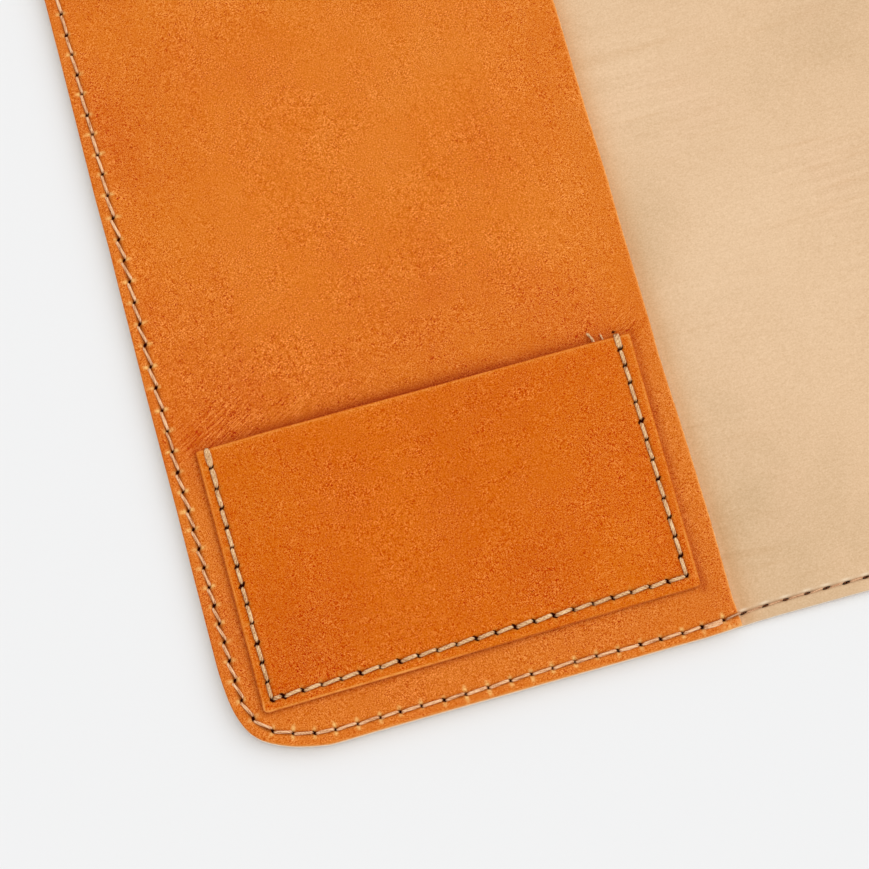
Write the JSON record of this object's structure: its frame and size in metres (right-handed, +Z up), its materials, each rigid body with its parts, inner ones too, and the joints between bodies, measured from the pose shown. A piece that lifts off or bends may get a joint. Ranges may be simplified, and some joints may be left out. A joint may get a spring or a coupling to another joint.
{
  "type": "leather notebook cover",
  "caption": "Flat-laid sewn leather cover for an A5 notebook: folding front and back boards of soft leather with flap sleeves and a business-card pocket.",
  "frame": {"origin": "centre of the open cover, on the surface it lies on", "axes": "+X along the open width from the front cover over the spine to the back cover, +Y to the head of the pages, +Z up, out of the inside"},
  "size_m": [0.336, 0.222, 0.0061],
  "materials": {
    "shell_leather": "undyed flesh side inside, tan grain outside, matte",
    "flap_leather": "tan aniline grain, satin",
    "pocket_leather": "tan aniline grain, satin, a little deeper than the flap",
    "thread": "waxed beige twisted thread"
  },
  "bodies": {
    "back_cover": {"shell_back": "shell_leather", "back_flap_margin": "flap_leather", "back_needle_thread": "thread", "back_bobbin_thread": "thread"},
    "back_flap": {"back_flap_panel": "flap_leather"},
    "spine": {"shell_spine": "shell_leather", "spine_needle_thread": "thread", "spine_bobbin_thread": "thread"},
    "front_cover": {"shell_front": "shell_leather", "front_flap_margin": "flap_leather", "front_needle_thread": "thread", "front_bobbin_thread": "thread"},
    "front_flap": {"front_flap_panel": "flap_leather", "card_pocket": "pocket_leather", "pocket_needle_thread": "thread", "pocket_bobbin_thread": "thread"}
  },
  "joints": [
    {"name": "back_fold", "type": "hinge", "parent": "back_cover", "child": "spine", "pos_m": [0.01, 0, 0.0018], "axis": [0, 1, 0], "range_deg": [0, 90]},
    {"name": "front_fold", "type": "hinge", "parent": "spine", "child": "front_cover", "pos_m": [-0.01, 0, 0.0018], "axis": [0, 1, 0], "range_deg": [0, 90]},
    {"name": "front_sleeve_flex", "type": "hinge", "parent": "front_cover", "child": "front_flap", "pos_m": [-0.1648, 0, 0.0033], "axis": [0, -1, 0], "range_deg": [0, 2.5], "stiffness_Nm_per_rad": 0.6},
    {"name": "back_sleeve_flex", "type": "hinge", "parent": "back_cover", "child": "back_flap", "pos_m": [0.1648, 0, 0.0033], "axis": [0, 1, 0], "range_deg": [0, 2.5], "stiffness_Nm_per_rad": 0.6}
  ]
}
